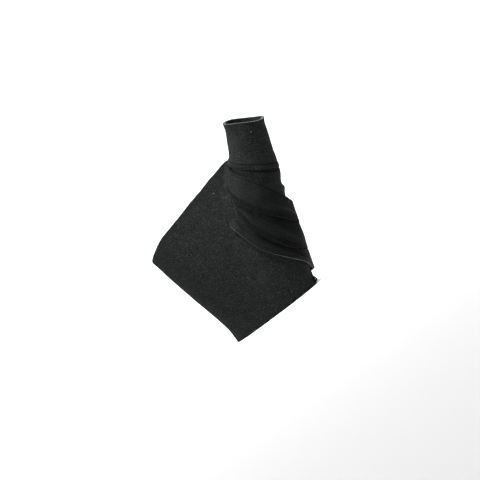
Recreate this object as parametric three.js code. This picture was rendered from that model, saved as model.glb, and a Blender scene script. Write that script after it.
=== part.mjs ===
// Wrist and thumb support brace for a right hand, in the shape it takes when worn.
// Millimetres, +Z from the wrist towards the fingers, +X towards the thumb, -Y out of the palm.
// Every cut piece of neoprene is a thin shell laid over one former: the hand and thumb inside the brace.
import * as THREE from 'three';

const { abs, cos, floor, hypot, max, min, pow, sin, PI } = Math;
const { clamp, degToRad, lerp, smoothstep } = THREE.MathUtils;
const point = (x, y, z) => new THREE.Vector3(x, y, z);

// ---------------------------------------------------------------- driving dimensions

const FOOTPRINT_CENTRE = point(10.74, -4.39, 0); // middle of the whole brace's box, from the wrist's centre

// Heights of the layers above the former.
const GUSSET_LAYER = [0, 1];
const PANEL_LAYER = [1.6, 3.3];
const SLEEVE_LAYER = [1.9, 3.4];
const RAISED = 2.05; // how much higher a strap lies where it crosses another piece
const LOOP_LAYER = [3.65, 4.15];
const HOOK_LAYER = [4.5, 5.4];
const STRAP_END_LAYER = [5.75, 7.45];
const SEAM_LAYER = [3.65, 4.1];

// The former: rows across the hand give its height, ulnar and radial x, palmar and dorsal y.
const HAND_ROWS = [
  [-20, -25.9, 26.2, -17.5, 17.0],
  [0, -25.9, 26.2, -17.5, 17.0],
  [12, -26.2, 26.8, -18.0, 16.8],
  [25, -28.9, 27.5, -18.5, 16.3],
  [45, -33.5, 28.0, -18.0, 15.0],
  [66, -37.6, 29.5, -15.5, 13.5],
  [80, -39.8, 31.5, -13.5, 13.0],
  [100, -41.0, 34.0, -12.5, 12.5],
  [120, -41.0, 34.0, -12.5, 12.5],
];
const HAND_SQUARENESS = 2.4;

// The thumb, from its root at the wrist to past the rim of its sleeve: centre and radius.
const THUMB_JOINTS = [
  { at: point(12, -5, 16), radius: 11 },
  { at: point(24.5, -9.5, 36), radius: 11.4 },
  { at: point(35.5, -12.5, 61), radius: 11.4 },
  { at: point(42.2, -15, 78.1), radius: 9.6 },
  { at: point(52.5, -20.8, 103.2), radius: 8.1 },
  { at: point(58.8, -24.3, 118), radius: 7.8 },
];
const WEB = { from: point(23, 1, 46), to: point(33.5, -3, 67.5), radius: 9 };
const THUMB_BLEND = 16; // how softly the ball of the thumb runs into the palm
const WEB_BLEND = 12;
const JOINT_BLEND = 1.5;

// The fan of straps: shares of its length, from its root in the palm to the tips on the back.
const STAGES = 12;
const SLIT_END = 2 / STAGES;
const FOLD = 10 / STAGES; // where a strap's loose end starts to peel
const TIP = 1;
const HOOK_STRETCH = [0.87, 0.985];
const STITCHED_TO = 0.8;
const TUCK = 0.2; // share of a strap's width that lies under its neighbour

// Seams. Angles go round the wrist from the middle of the palm, in degrees.
const HEM_HALF_WIDTH = 26;
const HEM_HALF_DEPTH = 17;
const ULNAR_SEAM_ANGLE = -125;
const RADIAL_SEAM_ANGLE = 84;
const RADIAL_SEAM_STAGE = 0.66; // where the radial seam meets the lowest strap
const KNOT_ANGLES = [64, 74];
const FLATLOCK_WIDTH = 2.7;
const SEAM_GAP = 0.25; // half of the gap where the sleeve meets the gusset
const BARTACK_LENGTH = 4;

// ---------------------------------------------------------------- the former

// A smooth curve through rows of numbers, read at a height.
function readRows(rows, height) {
  let i = 1;
  while (i < rows.length - 2 && height > rows[i + 1][0]) i += 1;
  const [before, low, high, after] = [rows[i - 1], rows[i], rows[i + 1], rows[min(i + 2, rows.length - 1)]];
  const span = high[0] - low[0];
  const t = clamp((height - low[0]) / span, 0, 1);
  return low.slice(1).map((_, k) => {
    const slopeIn = ((high[k + 1] - before[k + 1]) / (high[0] - before[0])) * span;
    const slopeOut = after === high ? 0 : ((after[k + 1] - low[k + 1]) / (after[0] - low[0])) * span;
    return (
      (2 * t ** 3 - 3 * t ** 2 + 1) * low[k + 1] +
      (t ** 3 - 2 * t ** 2 + t) * slopeIn +
      (3 * t ** 2 - 2 * t ** 3) * high[k + 1] +
      (t ** 3 - t ** 2) * slopeOut
    );
  });
}

function handDistance(p) {
  const [ulnar, radial, palmar, dorsal] = readRows(HAND_ROWS, p.z);
  const [a, b, n] = [(radial - ulnar) / 2, (dorsal - palmar) / 2, HAND_SQUARENESS];
  const dx = abs(p.x - (ulnar + radial) / 2) + 1e-6;
  const dy = abs(p.y - (palmar + dorsal) / 2) + 1e-6;
  const k = pow(pow(dx / a, n) + pow(dy / b, n), 1 / n);
  const slope = pow(k, 1 - n) * hypot(pow(dx, n - 1) / pow(a, n), pow(dy, n - 1) / pow(b, n));
  return (k - 1) / slope;
}

function capsuleDistance(p, from, to, fromRadius, toRadius) {
  const along = to.clone().sub(from);
  const t = clamp(p.clone().sub(from).dot(along) / along.lengthSq(), 0, 1);
  return p.distanceTo(from.clone().addScaledVector(along, t)) - lerp(fromRadius, toRadius, t);
}

function smoothMin(a, b, blend) {
  const h = max(blend - abs(a - b), 0) / blend;
  return min(a, b) - (h * h * blend) / 4;
}

function formerDistance(p) {
  let thumb = Infinity;
  for (let i = 0; i + 1 < THUMB_JOINTS.length; i += 1) {
    const [low, high] = [THUMB_JOINTS[i], THUMB_JOINTS[i + 1]];
    const link = capsuleDistance(p, low.at, high.at, low.radius, high.radius);
    thumb = i ? smoothMin(thumb, link, JOINT_BLEND) : link;
  }
  const web = capsuleDistance(p, WEB.from, WEB.to, WEB.radius, WEB.radius);
  return smoothMin(smoothMin(handDistance(p), thumb, THUMB_BLEND), web, WEB_BLEND);
}

// The former's gradient. Near the wrist it's kept level, so that the hem stays in one plane.
function slopeAt(p) {
  const step = 0.05;
  const [ex, ey, ez] = [point(step, 0, 0), point(0, step, 0), point(0, 0, step)];
  const along = (e) => (formerDistance(p.clone().add(e)) - formerDistance(p.clone().sub(e))) / (2 * step);
  return point(along(ex), along(ey), along(ez) * smoothstep(p.z, 0.5, 9));
}

function settle(seed) {
  const p = seed.clone();
  for (let i = 0; i < 12; i += 1) {
    const slope = slopeAt(p);
    p.addScaledVector(slope, -formerDistance(p) / slope.lengthSq());
  }
  return p;
}

const outward = (p) => slopeAt(p).normalize();

// ---------------------------------------------------------------- shells over the former

// A closed solid between an inner and an outer grid of points. around joins its first and last columns.
function solidBetween(inner, outer, around) {
  const [columns, rows] = [inner.length, inner[0].length];
  const corners = [...inner.flat(), ...outer.flat()].flatMap((p) => [p.x, p.y, p.z]);
  const at = (face, i, j) => face * columns * rows + (i % columns) * rows + j;
  const faces = [];
  const quad = (a, b, c, d) => faces.push(a, b, c, a, c, d);
  const lastColumn = around ? columns : columns - 1;
  for (let i = 0; i < lastColumn; i += 1) {
    for (let j = 0; j + 1 < rows; j += 1) {
      quad(at(1, i, j), at(1, i + 1, j), at(1, i + 1, j + 1), at(1, i, j + 1));
      quad(at(0, i, j), at(0, i, j + 1), at(0, i + 1, j + 1), at(0, i + 1, j));
    }
    quad(at(0, i, 0), at(0, i + 1, 0), at(1, i + 1, 0), at(1, i, 0));
    quad(at(0, i + 1, rows - 1), at(0, i, rows - 1), at(1, i, rows - 1), at(1, i + 1, rows - 1));
  }
  for (let j = 0; j + 1 < rows && !around; j += 1) {
    quad(at(0, 0, j + 1), at(0, 0, j), at(1, 0, j), at(1, 0, j + 1));
    const last = columns - 1;
    quad(at(0, last, j), at(0, last, j + 1), at(1, last, j + 1), at(1, last, j));
  }
  let volume = 0;
  for (let f = 0; f < faces.length; f += 3) {
    const [a, b, c] = [0, 1, 2].map((k) => point(...corners.slice(faces[f + k] * 3, faces[f + k] * 3 + 3)));
    volume += a.dot(b.cross(c));
  }
  if (volume < 0) faces.reverse();
  const geometry = new THREE.BufferGeometry();
  geometry.setAttribute('position', new THREE.Float32BufferAttribute(corners, 3));
  geometry.setIndex(faces);
  geometry.computeVertexNormals();
  return geometry;
}

// A sheet laid on the former: seed(s, t) gives a point near it, and layer(s, t) the heights of both faces.
function laidSheet(columns, rows, seed, layer, around = false) {
  const [inner, outer] = [[], []];
  const count = around ? columns : columns + 1;
  for (let i = 0; i < count; i += 1) {
    const s = i / columns;
    inner.push([]);
    outer.push([]);
    for (let j = 0; j <= rows; j += 1) {
      const t = j / rows;
      const onFormer = settle(seed(s, t));
      const normal = outward(onFormer);
      const [low, high] = layer(s, t);
      inner[i].push(onFormer.clone().addScaledVector(normal, low));
      outer[i].push(onFormer.clone().addScaledVector(normal, high));
    }
  }
  return solidBetween(inner, outer, around);
}

const curveThrough = (points, closed = false) =>
  new THREE.CatmullRomCurve3(points.map((p) => point(...p)), closed, 'centripetal');

const between = (low, high) => (s, t) => low(s).lerp(high(s), t);
const flatLayer = (layer) => () => layer;

// ---------------------------------------------------------------- outlines

// Edges of the fan of straps, from its root in the palm, round the thumb's root, to the tips on the back of
// the hand. All have a point at the same stages: 0 root, 2 end of the slit, 8 the thumb's side, 10 fold and
// 12 tip.
const FAN_EDGES = [
  [
    [7.8, -15.5, 85.2], [19, -14, 88.4], [29.5, -7, 89.2], [30.6, -15.5, 81.6], [34.8, -23, 72.8],
    [38.4, -25, 64.6], [42, -22, 57], [44.5, -15, 51.5], [43.5, -6, 48.5], [40, 2, 46],
    [33, 9, 44.5], [23, 14, 43.5], [12, 16, 43],
  ],
  [
    [7.8, -16, 80], [13.2, -16, 79], [19.2, -17, 76], [23, -19, 67.2], [25.7, -22, 60.7],
    [28.8, -24, 53], [33.6, -24, 46.4], [38, -20, 40.7], [40.5, -11, 36.5], [38.5, -2, 34],
    [33, 7, 32], [24, 13, 31], [13, 16, 30.5],
  ],
  [
    [7.8, -17, 74.5], [13.5, -17.5, 71.8], [18.8, -18, 66.6], [19, -20, 59.8], [19.5, -22, 52.6],
    [21.3, -23.5, 43], [24.9, -24, 34.9], [29.3, -22, 27.8], [34, -14, 23], [34.5, -4, 21],
    [31, 6, 19.5], [23.5, 13, 18.5], [13, 16.5, 18],
  ],
  [
    [7.8, -17, 68.9], [8.0, -18, 64.5], [8.3, -19, 59.6], [10.7, -21, 50.9], [14.4, -22, 39.9],
    [19.5, -22, 30.7], [25, -19, 22], [30, -14, 15.5], [32.5, -7, 11.5], [31, 1, 9],
    [26.5, 9, 7.5], [20, 14.5, 6.5], [12, 17, 6],
  ],
].map((points) => curveThrough(points));
const fanEdge = (k) => (s) => FAN_EDGES[k].getPoint(clamp(s, 0, 1));

// How far the piece below an edge reaches past it: a gap along the root, tucked under at the thumb's side,
// and a gap again on the back of the hand, where each strap peels on its own.
function tuckAt(s) {
  const rootGap = -0.045;
  const backGap = -0.07;
  const under = smoothstep(s, SLIT_END + 0.07, SLIT_END + 0.16);
  const apart = smoothstep(s, 0.5, 0.6);
  return lerp(lerp(rootGap, TUCK, under), backGap, apart);
}

// Across the whole fan at one stage, from its top edge at t = 0 to its bottom edge at t = 1.
function acrossFan(s, t) {
  const k = min(floor(t * 3), 2);
  return fanEdge(k)(s).lerp(fanEdge(k + 1)(s), t * 3 - k);
}

// The upper edge of the piece that lies below fan edge k.
const tuckedEdge = (k) => (s) => fanEdge(k)(s).lerp(fanEdge(k - 1)(s), tuckAt(s));

// Height that a strap gains: along its lower edge over the next piece, then over the dorsal panel, then up
// to the level of its own end.
function strapRise(s, t) {
  const overNeighbour =
    smoothstep(s, SLIT_END - 0.02, SLIT_END + 0.07) * (1 - smoothstep(t, TUCK + 0.08, TUCK + 0.35));
  const overPanel = max(overNeighbour, smoothstep(s, 0.585, 0.66)) * RAISED;
  return lerp(overPanel, STRAP_END_LAYER[0] - PANEL_LAYER[0], smoothstep(s, 0.67, 0.8));
}

// The ring where the sleeve is sewn on, and the ring of its rim.
const SEAM_RING = {
  centre: point(42.2, -15, 78.1),
  side: point(0.76, 0, -0.65),
  back: point(0.13, 0.98, 0.157),
};
const RIM_RING = {
  centre: point(52.3, -20.7, 102.8),
  side: point(0.876, 0, -0.482),
  back: point(0.1, 0.97, 0.2),
};
const THUMB_AXIS = RIM_RING.centre.clone().sub(SEAM_RING.centre).normalize();
const onRing = (ring, turn, lift = 0) =>
  ring.centre
    .clone()
    .addScaledVector(ring.side, 10 * cos(turn * 2 * PI))
    .addScaledVector(ring.back, 10 * sin(turn * 2 * PI))
    .addScaledVector(THUMB_AXIS, lift);

// ---------------------------------------------------------------- materials

const cloth = (color, roughness) => new THREE.MeshStandardMaterial({ color, roughness, metalness: 0 });
const outerNeoprene = () => cloth(0x26292a, 0.9);
const innerStretch = () => cloth(0x222526, 0.92);
const hookTape = () => cloth(0x1b1d1e, 0.7);
const loopPile = () => cloth(0x2a2d2e, 0.98);
const thread = () => cloth(0x1d1f20, 0.6);

// ---------------------------------------------------------------- parts

const brace = new THREE.Group();
brace.position.copy(FOOTPRINT_CENTRE).negate();

function add(name, geometry, material) {
  const mesh = new THREE.Mesh(geometry, material);
  mesh.name = name;
  brace.add(mesh);
}

const hemPoint = (degrees, height = 0) =>
  point(HEM_HALF_WIDTH * sin(degToRad(degrees)), -HEM_HALF_DEPTH * cos(degToRad(degrees)), height);

// Palm panel: from the seam on the little finger's side, across the palm, to the seam below the thumb.
function palmPanel() {
  const topEdge = curveThrough([
    [-33, 9, 68.5], [-37.5, 3, 68.6], [-37.5, -4, 70], [-33.5, -10, 73.3], [-28, -13, 76.3],
    [-19.6, -15, 78.5], [-10, -15.8, 80.9], [-1.7, -16, 83.2], [7.2, -15.5, 85.1],
  ]);
  const [topShare, rootShare] = [0.52, 0.66];
  const rootSide = (t) => point(7.2, lerp(-15.5, -17, t), lerp(85.1, 68.5, t));
  const upper = (s) => {
    if (s <= topShare) return topEdge.getPoint(s / topShare);
    if (s <= rootShare) return rootSide((s - topShare) / (rootShare - topShare));
    return tuckedEdge(3)(((s - rootShare) / (1 - rootShare)) * RADIAL_SEAM_STAGE);
  };
  const hemAngles = curveThrough([
    [0, ULNAR_SEAM_ANGLE, 0], [topShare, 8, 0], [rootShare, 24, 0], [1, RADIAL_SEAM_ANGLE - 0.7, 0],
  ]);
  const lower = (s) => hemPoint(hemAngles.getPoint(s).y);
  return laidSheet(44, 9, between(lower, upper), flatLayer(PANEL_LAYER));
}
add('palm_panel', palmPanel(), outerNeoprene());

// Dorsal panel: from the same seam, over the back of the hand, to the web and the thumb's far side.
function dorsalPanel() {
  const topEdge = curveThrough([
    [-32.4, 9.6, 68.5], [-22, 13, 71], [-8, 13.5, 74], [7, 13, 77.5], [18, 11, 81], [25.5, 9, 83.8],
    [30.5, 4.5, 85.5],
  ]);
  const thumbEdge = curveThrough([
    [30.5, 4.5, 85.5], [33, 3, 81.5], [36, 4, 77], [40, 3.5, 72.5], [44.5, -1, 69], [47, -4, 64],
    [47.2, -4.5, 57], [46, -3, 50], [45, -3, 47],
  ]);
  const [topShare, thumbShare] = [0.45, 0.76];
  const upper = (s) => {
    if (s <= topShare) return topEdge.getPoint(s / topShare);
    if (s <= thumbShare) return thumbEdge.getPoint((s - topShare) / (thumbShare - topShare));
    return acrossFan(RADIAL_SEAM_STAGE + 0.025, (s - thumbShare) / (1 - thumbShare));
  };
  const hemAngles = curveThrough([
    [0, ULNAR_SEAM_ANGLE - 1.2, 0], [topShare, -245, 0], [thumbShare, -268, 0],
    [1, RADIAL_SEAM_ANGLE + 0.7 - 360, 0],
  ]);
  const lower = (s) => hemPoint(hemAngles.getPoint(s).y);
  // Over the hollow between hand and thumb the sheet is laid from further out, so that it bridges smoothly.
  const hollow = (s, t) => sin(PI * t) * smoothstep(s, 0.2, 0.5) * (1 - 0.7 * smoothstep(s, 0.75, 1));
  const seed = (s, t) => lower(s).lerp(upper(s), t).add(point(3, 10, 0).multiplyScalar(hollow(s, t)));
  return laidSheet(44, 13, seed, flatLayer(PANEL_LAYER));
}
add('dorsal_panel', dorsalPanel(), outerNeoprene());

// Thumb gusset: the thin inner piece round the thumb's root, tucked under the panels, straps and sleeve.
function thumbGusset() {
  const loop = curveThrough([
    [43, -2, 20], [43, 3, 42], [38, 5, 60], [30, 8, 72], [30, 1, 83], [25, -13, 83], [22, -22, 70],
    [22, -24, 52], [26, -24, 34], [34, -18, 22],
  ], true);
  const lower = (s) => loop.getPoint(s);
  const upper = (s) => onRing(SEAM_RING, s, -SEAM_GAP);
  // It stays low under its neighbours and comes up flush with the sleeve at the seam.
  const layer = (s, t) => {
    const climb = smoothstep(t, 0.78, 0.95);
    return GUSSET_LAYER.map((height, i) => lerp(height, SLEEVE_LAYER[i], climb));
  };
  return laidSheet(40, 9, between(lower, upper), layer, true);
}
add('thumb_gusset', thumbGusset(), innerStretch());

// Thumb sleeve: the tube above the flatlocked seam, with a cut rim.
function thumbSleeve() {
  const lower = (s) => onRing(SEAM_RING, s, SEAM_GAP);
  const upper = (s) => onRing(RIM_RING, s);
  return laidSheet(36, 5, between(lower, upper), flatLayer(SLEEVE_LAYER), true);
}
add('thumb_sleeve', thumbSleeve(), outerNeoprene());

// The three straps: a root that is part of the palm's fan, and an end that peels off the back of the hand.
const STRAPS = ['upper', 'middle', 'lower'];
const strapTopEdge = (k) => (k === 0 ? fanEdge(0) : tuckedEdge(k));
STRAPS.forEach((name, k) => {
  const across = between(fanEdge(k + 1), strapTopEdge(k));
  const rootEnd = FOLD - 0.004;
  const endStart = FOLD + 0.004;
  const root = laidSheet(32, 6, (s, t) => across(s * rootEnd, t), (s, t) => {
    const rise = strapRise(s * rootEnd, t);
    return PANEL_LAYER.map((height) => height + rise);
  });
  add(`strap_${name}_root`, root, outerNeoprene());
  const end = laidSheet(10, 5, (s, t) => across(lerp(endStart, TIP, s), t), flatLayer(STRAP_END_LAYER));
  add(`strap_${name}_end`, end, outerNeoprene());
  const onHook = (s, t) => across(lerp(HOOK_STRETCH[0], HOOK_STRETCH[1], s), lerp(0.14, 0.86, t));
  const hook = laidSheet(8, 4, onHook, flatLayer(HOOK_LAYER));
  add(`hook_${name}`, hook, hookTape());
});

// Loop field on the back, where the hooks take hold.
const onLoopField = (s, t) => acrossFan(0.83, t).lerp(acrossFan(TIP, t).add(point(-5, 0.3, 0)), s);
add('loop_field', laidSheet(10, 12, onLoopField, flatLayer(LOOP_LAYER)), loopPile());

// Flatlock seams: flat bands of thread over the places where two pieces meet edge to edge.
const onThumbSeam = (s, t) => onRing(SEAM_RING, s, (t - 0.5) * FLATLOCK_WIDTH);
add('thumb_seam', laidSheet(36, 1, onThumbSeam, flatLayer(SEAM_LAYER), true), thread());

const ulnarTop = point(-32.7, 9.3, 67.9);
const ulnarSeam = laidSheet(16, 2, (s, t) => {
  const middle = hemPoint(ULNAR_SEAM_ANGLE - 0.6, 0.6).lerp(ulnarTop, s);
  return middle.add(point(0.55, 0.83, 0).multiplyScalar((t - 0.5) * FLATLOCK_WIDTH));
}, flatLayer(SEAM_LAYER));
add('ulnar_seam', ulnarSeam, thread());

const radialSeam = laidSheet(4, 2, (s, t) => {
  const middle = hemPoint(RADIAL_SEAM_ANGLE, lerp(0.6, 8.6, s));
  return middle.add(point(-0.1, 1, 0).multiplyScalar((t - 0.5) * FLATLOCK_WIDTH));
}, flatLayer(SEAM_LAYER));
add('radial_seam', radialSeam, thread());

// The knot of thread that ends the radial seam at the hem.
const knot = laidSheet(
  4, 4, (s, t) => hemPoint(lerp(KNOT_ANGLES[0], KNOT_ANGLES[1], s), lerp(1.1, 4.6, t)),
  (s, t) => [3.65, 4.2 + 1.1 * sin(PI * s) * sin(PI * t)]);
add('seam_knot', knot, thread());

// Bar tacks that stop the slits from tearing, and the stitched lower edges of two straps.
STRAPS.forEach((name, k) => {
  const edge = fanEdge(k + 1);
  const tack = laidSheet(2, 3, (s, t) => {
    const stage = SLIT_END - 0.035 + 0.012 * s;
    return edge(stage).add(point(0.3, 0, 1).multiplyScalar((t - 0.5) * BARTACK_LENGTH));
  }, flatLayer(SEAM_LAYER));
  add(`bartack_${name}`, tack, thread());
});
['upper', 'middle'].forEach((name, k) => {
  const across = between(fanEdge(k + 1), strapTopEdge(k));
  const stageAt = (s) => lerp(SLIT_END, STITCHED_TO, s);
  const shareAt = (t) => lerp(0.1, 0.15, t);
  const stitch = laidSheet(30, 1, (s, t) => across(stageAt(s), shareAt(t)), (s, t) => {
    const rise = strapRise(stageAt(s), shareAt(t));
    return [PANEL_LAYER[1] + rise + 0.35, PANEL_LAYER[1] + rise + 0.75];
  });
  add(`stitch_${name}`, stitch, thread());
});

export default brace;
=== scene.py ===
"""Looks for a wrist and thumb support brace: black neoprene cut pieces, stitches, hook and loop."""

import bpy
import numpy as np
from mathutils import Matrix, Vector


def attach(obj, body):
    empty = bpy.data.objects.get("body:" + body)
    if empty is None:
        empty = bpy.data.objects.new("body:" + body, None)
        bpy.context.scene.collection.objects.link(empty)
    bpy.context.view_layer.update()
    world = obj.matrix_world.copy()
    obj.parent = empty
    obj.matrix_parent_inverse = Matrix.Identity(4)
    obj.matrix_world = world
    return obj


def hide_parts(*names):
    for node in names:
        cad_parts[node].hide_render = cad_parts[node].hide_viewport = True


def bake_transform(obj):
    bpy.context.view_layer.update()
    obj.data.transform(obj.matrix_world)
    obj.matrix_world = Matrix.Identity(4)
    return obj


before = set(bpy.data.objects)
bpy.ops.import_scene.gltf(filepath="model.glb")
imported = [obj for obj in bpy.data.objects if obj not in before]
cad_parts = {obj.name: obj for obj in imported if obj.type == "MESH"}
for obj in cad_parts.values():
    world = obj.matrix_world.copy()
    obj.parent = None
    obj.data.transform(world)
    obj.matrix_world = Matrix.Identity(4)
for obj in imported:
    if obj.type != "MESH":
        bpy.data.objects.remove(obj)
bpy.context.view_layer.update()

MM = 0.001
TAU = 2 * np.pi

# ---- dimensions, in mm

FOOTPRINT_CENTRE = np.array([10.74, -4.39, 0.0])  # the part's origin, in the former's own coordinates

# Each layer's lower and upper face, as heights above the former.
GUSSET_LAYER = (0.0, 1.0)
PANEL_LAYER = (1.6, 3.3)
SLEEVE_LAYER = (1.9, 3.4)
LOOP_LAYER = (3.65, 4.15)
HOOK_LAYER = (4.5, 5.4)
STRAP_END_LAYER = (5.75, 7.45)
RAISED = 2.05  # what a strap rises by where it laps over the next one

# The hand's sections: height, then the ulnar, radial, palmar and dorsal limits.
HAND_ROWS = np.array([
    [-20, -25.9, 26.2, -17.5, 17.0],
    [0, -25.9, 26.2, -17.5, 17.0],
    [12, -26.2, 26.8, -18.0, 16.8],
    [25, -28.9, 27.5, -18.5, 16.3],
    [45, -33.5, 28.0, -18.0, 15.0],
    [66, -37.6, 29.5, -15.5, 13.5],
    [80, -39.8, 31.5, -13.5, 13.0],
    [100, -41.0, 34.0, -12.5, 12.5],
    [120, -41.0, 34.0, -12.5, 12.5],
])
HAND_SQUARENESS = 2.4

# Points along the thumb with its radius at each, then the web beside it: two ends and a radius.
THUMB_JOINTS = [
    ((12, -5, 16), 11.0),
    ((24.5, -9.5, 36), 11.4),
    ((35.5, -12.5, 61), 11.4),
    ((42.2, -15, 78.1), 9.6),
    ((52.5, -20.8, 103.2), 8.1),
    ((58.8, -24.3, 118), 7.8),
]
WEB = ((23, 1, 46), (33.5, -3, 67.5), 9.0)
JOINT_BLEND = 1.5
THUMB_BLEND = 16.0
WEB_BLEND = 12.0

# The straps run in stages from 0 at the palm to 1 at their tips.
SLIT_END = 2 / 12
FOLD = 10 / 12
SPLIT = FOLD - 0.045  # where a strap's root piece hands over to its peeling end
TUCK = 0.2  # the share of a strap's width that the next one reaches under it
SLIT_START_X = 7.8
FAN_ROOT_X = 7.5  # where the palm panel hands over to the straps
STRAP_WIDTH = 12.5
LAPPED_WIDTH = 14.5  # a strap's width with the part that is tucked under its neighbour
STITCH_SHARE = 0.085  # how far in from the strap's lower edge its stitches run, as a share of its width
STITCHES_END = 0.785
RIPPLES = 60  # small waves that the stitches draw a strap's edge into, counted over its whole run

# Angles round the hem are in degrees, from the middle of the palm towards the thumb.
ULNAR_ANGLE = -125
RADIAL_ANGLE = 84
RADIAL_STAGE = 0.672  # the stage at which the straps pass over the radial seam
ULNAR_TOP = np.array([-32.7, 9.3, 67.9])
HEM_HALF_SIZE = (26, 17)
PALM_CORNER, PALM_SLITS = 0.52, 0.66  # where the palm's upper edge meets the straps' roots, then leaves them
DORSAL_CORNER, DORSAL_THUMB = 0.45, 0.76  # where the dorsal's upper edge turns down, then meets the straps
SEAM_ANGLE_GAP = 0.3  # degrees, from a seam's middle to the cloth on either side
RADIAL_STAGE_GAP = 0.003

RIM_SWELL = 0.12  # how far the foam bulges out of a cut edge
EDGE_SINK = 0.18  # how far the knit is drawn down at a cut edge
SEWN = 0.25  # how free a rim is where it's butted in a flatlock seam
SEAM_DENT = (0.3, 1.1)  # depth and width of the hollow beside such a seam
FLATLOCK_WIDTH = 2.7
SEAM_GAP = 0.12
THUMB_RING = 10  # radius of the circles that the thumb's seam and rim are laid from
SLEEVE_LENGTH = 27
GUSSET_REACH = 26
GUSSET_KNIT_LENGTH = 30
THREAD_RADIUS = 0.17
STITCHED_LOOPS = 37  # ripples round the thumb beside its seam

# ---- small maths


def smoothstep(x, low, high):
    t = np.clip((x - low) / (high - low), 0, 1)
    return t * t * (3 - 2 * t)


def between(x, start, full, fade, end):
    """1 over a stretch of x, with soft ends."""
    return smoothstep(x, start, full) * (1 - smoothstep(x, fade, end))


def bell(x, width):
    return np.exp(-((x / width) ** 2))


def lerp(a, b, t):
    return a + (b - a) * t


def length(v):
    return np.linalg.norm(v, axis=-1, keepdims=True)


def unit(v):
    return v / np.maximum(length(v), 1e-9)


def waves(p, wavelength, seed):
    """Smooth made-up relief from -1 to 1, the same on every run."""
    rng = np.random.default_rng(seed)
    total = 0
    for _ in range(6):
        direction = unit(rng.normal(size=3))
        scale = TAU / (wavelength * rng.uniform(0.7, 1.5))
        total = total + np.sin(p @ direction * scale + rng.uniform(0, TAU))
    return total / 3.5


class Curve:
    """A smooth curve through its points, evaluated for a whole array of stages from 0 to 1."""

    def __init__(self, points):
        p = np.array(points, float)
        self.p = np.vstack([2 * p[0] - p[1], p, 2 * p[-1] - p[-2]])
        self.spans = len(p) - 1

    def __call__(self, s):
        s = np.clip(np.asarray(s, float), 0, 1)
        i = np.minimum((s * self.spans).astype(int), self.spans - 1)
        w = (s * self.spans - i)[..., None]
        x0, x1, x2, x3 = (self.p[i + k] for k in range(4))
        d0, d1, d2 = (np.maximum(length(b - a), 1e-6) ** 0.5 for a, b in ((x0, x1), (x1, x2), (x2, x3)))
        t1 = ((x1 - x0) / d0 - (x2 - x0) / (d0 + d1) + (x2 - x1) / d1) * d1
        t2 = ((x2 - x1) / d1 - (x3 - x1) / (d1 + d2) + (x3 - x2) / d2) * d1
        return (x1 + t1 * w + (-3 * x1 + 3 * x2 - 2 * t1 - t2) * w**2 + (2 * x1 - 2 * x2 + t1 + t2) * w**3)


# ---- the former: the hand inside the brace


def read_rows(z):
    rows = HAND_ROWS
    i = np.clip(np.searchsorted(rows[:, 0], z, side="right") - 1, 1, len(rows) - 2)
    before, low, high = rows[i - 1], rows[i], rows[i + 1]
    after = rows[np.minimum(i + 2, len(rows) - 1)]
    span = (high[:, 0] - low[:, 0])[:, None]
    t = np.clip((z[:, None] - low[:, :1]) / span, 0, 1)
    slope_in = (high - before)[:, 1:] / (high - before)[:, :1] * span
    gap = after[:, :1] - low[:, :1]
    last = (i == len(rows) - 2)[:, None]
    slope_out = np.where(last, 0, (after - low)[:, 1:] / gap * span)
    return ((2 * t**3 - 3 * t**2 + 1) * low[:, 1:] + (t**3 - 2 * t**2 + t) * slope_in
            + (3 * t**2 - 2 * t**3) * high[:, 1:] + (t**3 - t**2) * slope_out)


def hand_distance(p):
    ulnar, radial, palmar, dorsal = read_rows(p[:, 2]).T
    a, b, n = (radial - ulnar) / 2, (dorsal - palmar) / 2, HAND_SQUARENESS
    dx = np.abs(p[:, 0] - (ulnar + radial) / 2) + 1e-6
    dy = np.abs(p[:, 1] - (palmar + dorsal) / 2) + 1e-6
    k = ((dx / a) ** n + (dy / b) ** n) ** (1 / n)
    slope = k ** (1 - n) * np.hypot(dx ** (n - 1) / a**n, dy ** (n - 1) / b**n)
    return (k - 1) / slope


def capsule_distance(p, start, end, start_radius, end_radius):
    start, along = np.array(start, float), np.subtract(end, start)
    t = np.clip((p - start) @ along / (along @ along), 0, 1)
    return np.linalg.norm(p - start - t[:, None] * along, axis=1) - lerp(start_radius, end_radius, t)


def smooth_min(a, b, blend):
    h = np.maximum(blend - np.abs(a - b), 0) / blend
    return np.minimum(a, b) - h * h * blend / 4


def former_distance(p):
    thumb = None
    for (a, ra), (b, rb) in zip(THUMB_JOINTS, THUMB_JOINTS[1:]):
        link = capsule_distance(p, a, b, ra, rb)
        thumb = link if thumb is None else smooth_min(thumb, link, JOINT_BLEND)
    web = capsule_distance(p, WEB[0], WEB[1], WEB[2], WEB[2])
    return smooth_min(smooth_min(hand_distance(p), thumb, THUMB_BLEND), web, WEB_BLEND)


def slope_at(p):
    step = 0.05
    grad = np.stack([
        (former_distance(p + step * e) - former_distance(p - step * e)) / (2 * step) for e in np.eye(3)
    ], axis=1)
    grad[:, 2] *= smoothstep(p[:, 2], 0.5, 9)
    return grad


def settle(seeds):
    """The seeds moved onto the former, and its outward normals there."""
    p = np.array(seeds, float).reshape(-1, 3)
    for _ in range(12):
        grad = slope_at(p)
        p = p - grad * (former_distance(p) / np.maximum((grad * grad).sum(1), 1e-9))[:, None]
    shape = np.shape(seeds)
    return p.reshape(shape), unit(slope_at(p)).reshape(shape)


def give(p):
    """How far the worn cloth rises and falls over the flesh. All layers share it, so none cuts another."""
    soft = 0.32 * waves(p, 30, 3) + 0.10 * waves(p, 12, 8)
    from_crease = p - np.array([27.5, -20.0, 72.0])
    wave = np.sin((from_crease @ np.array([0.8, 0.0, -0.6])) * 0.7)
    fold = np.exp(-(from_crease**2).sum(-1) / 14**2) * wave
    return (soft + 0.25 * fold) * smoothstep(p[..., 2], 0.5, 7)


# ---- outlines

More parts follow.
